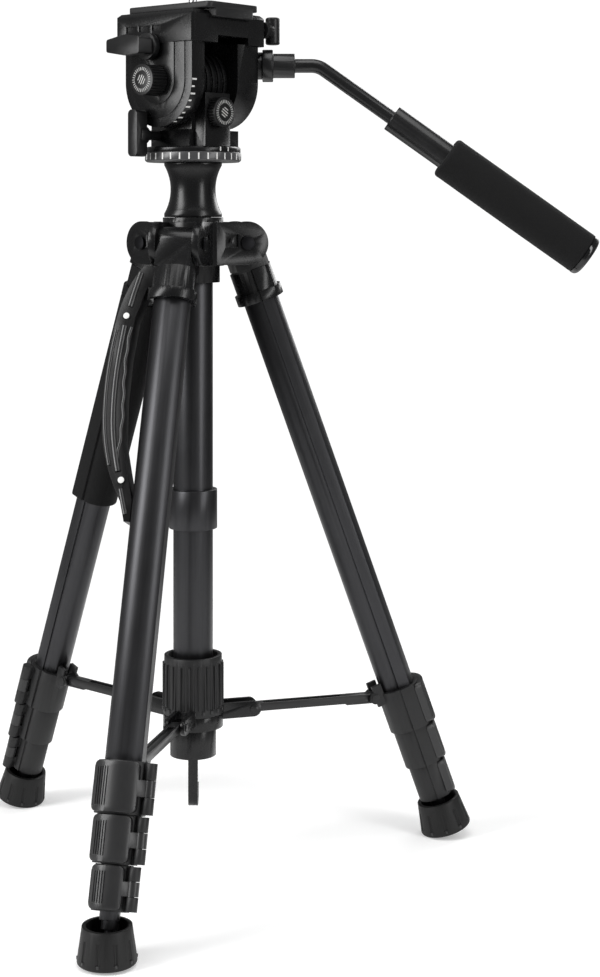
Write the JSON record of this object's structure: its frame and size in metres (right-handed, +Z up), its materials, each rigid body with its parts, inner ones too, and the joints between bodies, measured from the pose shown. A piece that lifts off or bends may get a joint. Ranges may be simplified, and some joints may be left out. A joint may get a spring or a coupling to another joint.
{
  "type": "camera tripod",
  "caption": "Black folding video tripod with flip-lock legs, mid spreader, lifting centre column, pan and tilt head, quick-release plate and bent pan handle.",
  "frame": {"origin": "on the floor under the centre column's axis", "axes": "+Z up the centre column, one leg points to -Y, the other two to +X+Y and -X+Y"},
  "size_m": [0.4766, 0.3325, 0.6252],
  "materials": {
    "anodised": "satin black anodised",
    "clamp": "fine moulded texture",
    "lever": "satin",
    "casting": "satin",
    "hub": "satin",
    "head": "satin",
    "knob": "fine grip texture",
    "bolt": "black oxide",
    "screw": "plain",
    "foot": "moulded",
    "foam": "closed-cell foam",
    "strap": "matt moulded",
    "bar": "satin black"
  },
  "bodies": {
    "shoulder": {"shoulder_casting": "casting", "shoulder_bolts": "bolt", "center_tube": "anodised", "tube_end_cap": "hub"},
    "leg_front": {"leg_front_bracket": "casting", "leg_front_tube_1": "anodised", "leg_front_lock_1": "clamp", "carry_handle": "strap"},
    "lever_front_1": {"leg_front_lever_1": "lever"},
    "section_front_2": {"leg_front_tube_2": "anodised", "leg_front_lock_2": "clamp"},
    "lever_front_2": {"leg_front_lever_2": "lever"},
    "section_front_3": {"leg_front_tube_3": "anodised", "leg_front_lock_3": "clamp"},
    "lever_front_3": {"leg_front_lever_3": "lever"},
    "section_front_4": {"leg_front_tube_4": "anodised"},
    "foot_front": {"leg_front_foot": "foot"},
    "arm_front": {"arm_front": "bar"},
    "leg_right": {"leg_right_bracket": "casting", "leg_right_tube_1": "anodised", "leg_right_lock_1": "clamp"},
    "lever_right_1": {"leg_right_lever_1": "lever"},
    "section_right_2": {"leg_right_tube_2": "anodised", "leg_right_lock_2": "clamp"},
    "lever_right_2": {"leg_right_lever_2": "lever"},
    "section_right_3": {"leg_right_tube_3": "anodised", "leg_right_lock_3": "clamp"},
    "lever_right_3": {"leg_right_lever_3": "lever"},
    "section_right_4": {"leg_right_tube_4": "anodised"},
    "foot_right": {"leg_right_foot": "foot"},
    "arm_right": {"arm_right": "bar"},
    "leg_left": {"leg_left_bracket": "casting", "leg_left_tube_1": "anodised", "leg_left_lock_1": "clamp", "leg_foam": "foam"},
    "lever_left_1": {"leg_left_lever_1": "lever"},
    "section_left_2": {"leg_left_tube_2": "anodised", "leg_left_lock_2": "clamp"},
    "lever_left_2": {"leg_left_lever_2": "lever"},
    "section_left_3": {"leg_left_tube_3": "anodised", "leg_left_lock_3": "clamp"},
    "lever_left_3": {"leg_left_lever_3": "lever"},
    "section_left_4": {"leg_left_tube_4": "anodised"},
    "foot_left": {"leg_left_foot": "foot"},
    "arm_left": {"arm_left": "bar"},
    "hub": {"spreader_hub": "hub"},
    "lock_ring": {"lock_ring": "hub"},
    "column": {"center_column": "anodised", "pan_base": "head"},
    "pan": {"pan_body": "head"},
    "tilt": {"tilt_cradle": "head"},
    "plate": {"qr_plate": "head"},
    "screw": {"camera_screw": "screw"},
    "plate_knob": {"qr_lock_knob": "knob"},
    "tilt_lever": {"tilt_lock_lever": "knob"},
    "pan_knob": {"pan_lock_knob": "knob"},
    "tilt_drag": {"tilt_drag_knob": "knob"},
    "pan_drag": {"pan_drag_knob": "knob"},
    "handle": {"handle_bar": "bar", "handle_grip": "foam"}
  },
  "joints": [
    {"name": "leg_front_fold", "type": "hinge", "parent": "shoulder", "child": "leg_front", "pos_m": [0, -0.036, 0.4484], "axis": [1, 0, 0], "range_deg": [0, 13.5]},
    {"name": "leg_front_lever_1_open", "type": "hinge", "parent": "leg_front", "child": "lever_front_1", "pos_m": [0.0193, -0.16975, 0.10292], "axis": [0, 0.3433, 0.9392], "range_deg": [0, 100]},
    {"name": "leg_front_draw_2", "type": "slide", "parent": "leg_front", "child": "section_front_2", "axis": [0, -0.3433, -0.9392], "range_m": [0, 0.28]},
    {"name": "leg_front_lever_2_open", "type": "hinge", "parent": "section_front_2", "child": "lever_front_2", "pos_m": [0.0172, -0.18056, 0.07333], "axis": [0, 0.3433, 0.9392], "range_deg": [0, 100]},
    {"name": "leg_front_draw_3", "type": "slide", "parent": "section_front_2", "child": "section_front_3", "axis": [0, -0.3433, -0.9392], "range_m": [0, 0.28]},
    {"name": "leg_front_lever_3_open", "type": "hinge", "parent": "section_front_3", "child": "lever_front_3", "pos_m": [0.0151, -0.19055, 0.046], "axis": [0, 0.3433, 0.9392], "range_deg": [0, 100]},
    {"name": "leg_front_draw_4", "type": "slide", "parent": "section_front_3", "child": "section_front_4", "axis": [0, -0.3433, -0.9392], "range_m": [0, 0.28]},
    {"name": "leg_front_foot_tilt", "type": "hinge", "parent": "section_front_4", "child": "foot_front", "pos_m": [0, -0.19608, 0.01048], "axis": [1, 0, 0], "range_deg": [-20, 0.4]},
    {"name": "arm_front_swing", "type": "hinge", "parent": "leg_front", "child": "arm_front", "pos_m": [0, -0.13863, 0.10794], "axis": [1, 0, 0], "range_deg": [0, 69.07]},
    {"name": "leg_right_fold", "type": "hinge", "parent": "shoulder", "child": "leg_right", "pos_m": [0.03118, 0.018, 0.4484], "axis": [-0.5, 0.866, 0], "range_deg": [0, 13.5]},
    {"name": "leg_right_lever_1_open", "type": "hinge", "parent": "leg_right", "child": "lever_right_1", "pos_m": [0.13735, 0.10159, 0.10292], "axis": [-0.2973, -0.1717, 0.9392], "range_deg": [0, 100]},
    {"name": "leg_right_draw_2", "type": "slide", "parent": "leg_right", "child": "section_right_2", "axis": [0.2973, 0.1717, -0.9392], "range_m": [0, 0.28]},
    {"name": "leg_right_lever_2_open", "type": "hinge", "parent": "section_right_2", "child": "lever_right_2", "pos_m": [0.14777, 0.10518, 0.07333], "axis": [-0.2973, -0.1717, 0.9392], "range_deg": [0, 100]},
    {"name": "leg_right_draw_3", "type": "slide", "parent": "section_right_2", "child": "section_right_3", "axis": [0.2973, 0.1717, -0.9392], "range_m": [0, 0.28]},
    {"name": "leg_right_lever_3_open", "type": "hinge", "parent": "section_right_3", "child": "lever_right_3", "pos_m": [0.15747, 0.10835, 0.046], "axis": [-0.2973, -0.1717, 0.9392], "range_deg": [0, 100]},
    {"name": "leg_right_draw_4", "type": "slide", "parent": "section_right_3", "child": "section_right_4", "axis": [0.2973, 0.1717, -0.9392], "range_m": [0, 0.28]},
    {"name": "leg_right_foot_tilt", "type": "hinge", "parent": "section_right_4", "child": "foot_right", "pos_m": [0.16881, 0.09746, 0.01364], "axis": [-0.5, 0.866, 0], "range_deg": [-15.5, 8.5]},
    {"name": "arm_right_swing", "type": "hinge", "parent": "leg_right", "child": "arm_right", "pos_m": [0.12006, 0.06931, 0.10794], "axis": [-0.5, 0.866, 0], "range_deg": [0, 69.07]},
    {"name": "leg_left_fold", "type": "hinge", "parent": "shoulder", "child": "leg_left", "pos_m": [-0.03118, 0.018, 0.4484], "axis": [-0.5, -0.866, 0], "range_deg": [0, 13.5]},
    {"name": "leg_left_lever_1_open", "type": "hinge", "parent": "leg_left", "child": "lever_left_1", "pos_m": [-0.15665, 0.06816, 0.10292], "axis": [0.2973, -0.1717, 0.9392], "range_deg": [0, 100]},
    {"name": "leg_left_draw_2", "type": "slide", "parent": "leg_left", "child": "section_left_2", "axis": [-0.2973, 0.1717, -0.9392], "range_m": [0, 0.28]},
    {"name": "leg_left_lever_2_open", "type": "hinge", "parent": "section_left_2", "child": "lever_left_2", "pos_m": [-0.16497, 0.07538, 0.07333], "axis": [0.2973, -0.1717, 0.9392], "range_deg": [0, 100]},
    {"name": "leg_left_draw_3", "type": "slide", "parent": "section_left_2", "child": "section_left_3", "axis": [-0.2973, 0.1717, -0.9392], "range_m": [0, 0.28]},
    {"name": "leg_left_lever_3_open", "type": "hinge", "parent": "section_left_3", "child": "lever_left_3", "pos_m": [-0.17257, 0.0822, 0.046], "axis": [0.2973, -0.1717, 0.9392], "range_deg": [0, 100]},
    {"name": "leg_left_draw_4", "type": "slide", "parent": "section_left_3", "child": "section_left_4", "axis": [-0.2973, 0.1717, -0.9392], "range_m": [0, 0.28]},
    {"name": "leg_left_foot_tilt", "type": "hinge", "parent": "section_left_4", "child": "foot_left", "pos_m": [-0.16881, 0.09746, 0.01364], "axis": [-0.5, -0.866, 0], "range_deg": [-15.5, 8.5]},
    {"name": "arm_left_swing", "type": "hinge", "parent": "leg_left", "child": "arm_left", "pos_m": [-0.12006, 0.06931, 0.10794], "axis": [-0.5, -0.866, 0], "range_deg": [0, 69.07]},
    {"name": "hub_lift", "type": "slide", "parent": "shoulder", "child": "hub", "axis": [0, 0, 1], "range_m": [0, 0.0794]},
    {"name": "lock_ring_twist", "type": "hinge", "parent": "hub", "child": "lock_ring", "pos_m": [0, 0, 0.13], "axis": [0, 0, 1], "range_deg": [0, 90]},
    {"name": "column_lift", "type": "slide", "parent": "shoulder", "child": "column", "axis": [0, 0, 1], "range_m": [0, 0.25]},
    {"name": "pan_turn", "type": "hinge", "parent": "column", "child": "pan", "pos_m": [0, 0, 0.516], "axis": [0, 0, 1], "continuous": true},
    {"name": "head_tilt", "type": "hinge", "parent": "pan", "child": "tilt", "pos_m": [0, 0, 0.5645], "axis": [0.4639, 0.8859, 0], "range_deg": [-55, 55]},
    {"name": "plate_slide", "type": "slide", "parent": "tilt", "child": "plate", "axis": [0.8859, -0.4639, 0], "range_m": [-0.02, 0.02]},
    {"name": "camera_screw_turn", "type": "hinge", "parent": "plate", "child": "screw", "pos_m": [0, 0, 0.618], "axis": [0, 0, 1], "continuous": true},
    {"name": "plate_knob_turn", "type": "hinge", "parent": "tilt", "child": "plate_knob", "pos_m": [0.0492, 0.0239, 0.604], "axis": [0.4639, 0.8859, 0], "range_deg": [-90, 90]},
    {"name": "tilt_lever_turn", "type": "hinge", "parent": "tilt", "child": "tilt_lever", "pos_m": [-0.02391, -0.03489, 0.589], "axis": [0.4639, 0.8859, 0], "range_deg": [-15, 60]},
    {"name": "pan_knob_turn", "type": "hinge", "parent": "pan", "child": "pan_knob", "pos_m": [-0.02919, -0.02987, 0.526], "axis": [0.4639, 0.8859, 0], "continuous": true},
    {"name": "tilt_drag_turn", "type": "hinge", "parent": "tilt", "child": "tilt_drag", "pos_m": [-0.02088, -0.03986, 0.5645], "axis": [0.4639, 0.8859, 0], "continuous": true},
    {"name": "pan_drag_turn", "type": "hinge", "parent": "pan", "child": "pan_drag", "pos_m": [0.0271, -0.02153, 0.542], "axis": [0.8859, -0.4639, 0], "continuous": true},
    {"name": "handle_swing", "type": "hinge", "parent": "tilt", "child": "handle", "pos_m": [0.04561, 0.02511, 0.5783], "axis": [0.9757, 0.2192, 0], "continuous": true}
  ],
  "couplings": [
    {"joint": "leg_right_fold", "follows": "leg_front_fold", "ratio": 1},
    {"joint": "leg_left_fold", "follows": "leg_front_fold", "ratio": 1},
    {"joint": "arm_front_swing", "follows": "leg_front_fold", "ratio": 5.1128},
    {"joint": "arm_right_swing", "follows": "leg_front_fold", "ratio": 5.1128},
    {"joint": "arm_left_swing", "follows": "leg_front_fold", "ratio": 5.1128},
    {"joint": "hub_lift", "follows": "leg_front_fold", "m_per_rad": 0.33644}
  ]
}
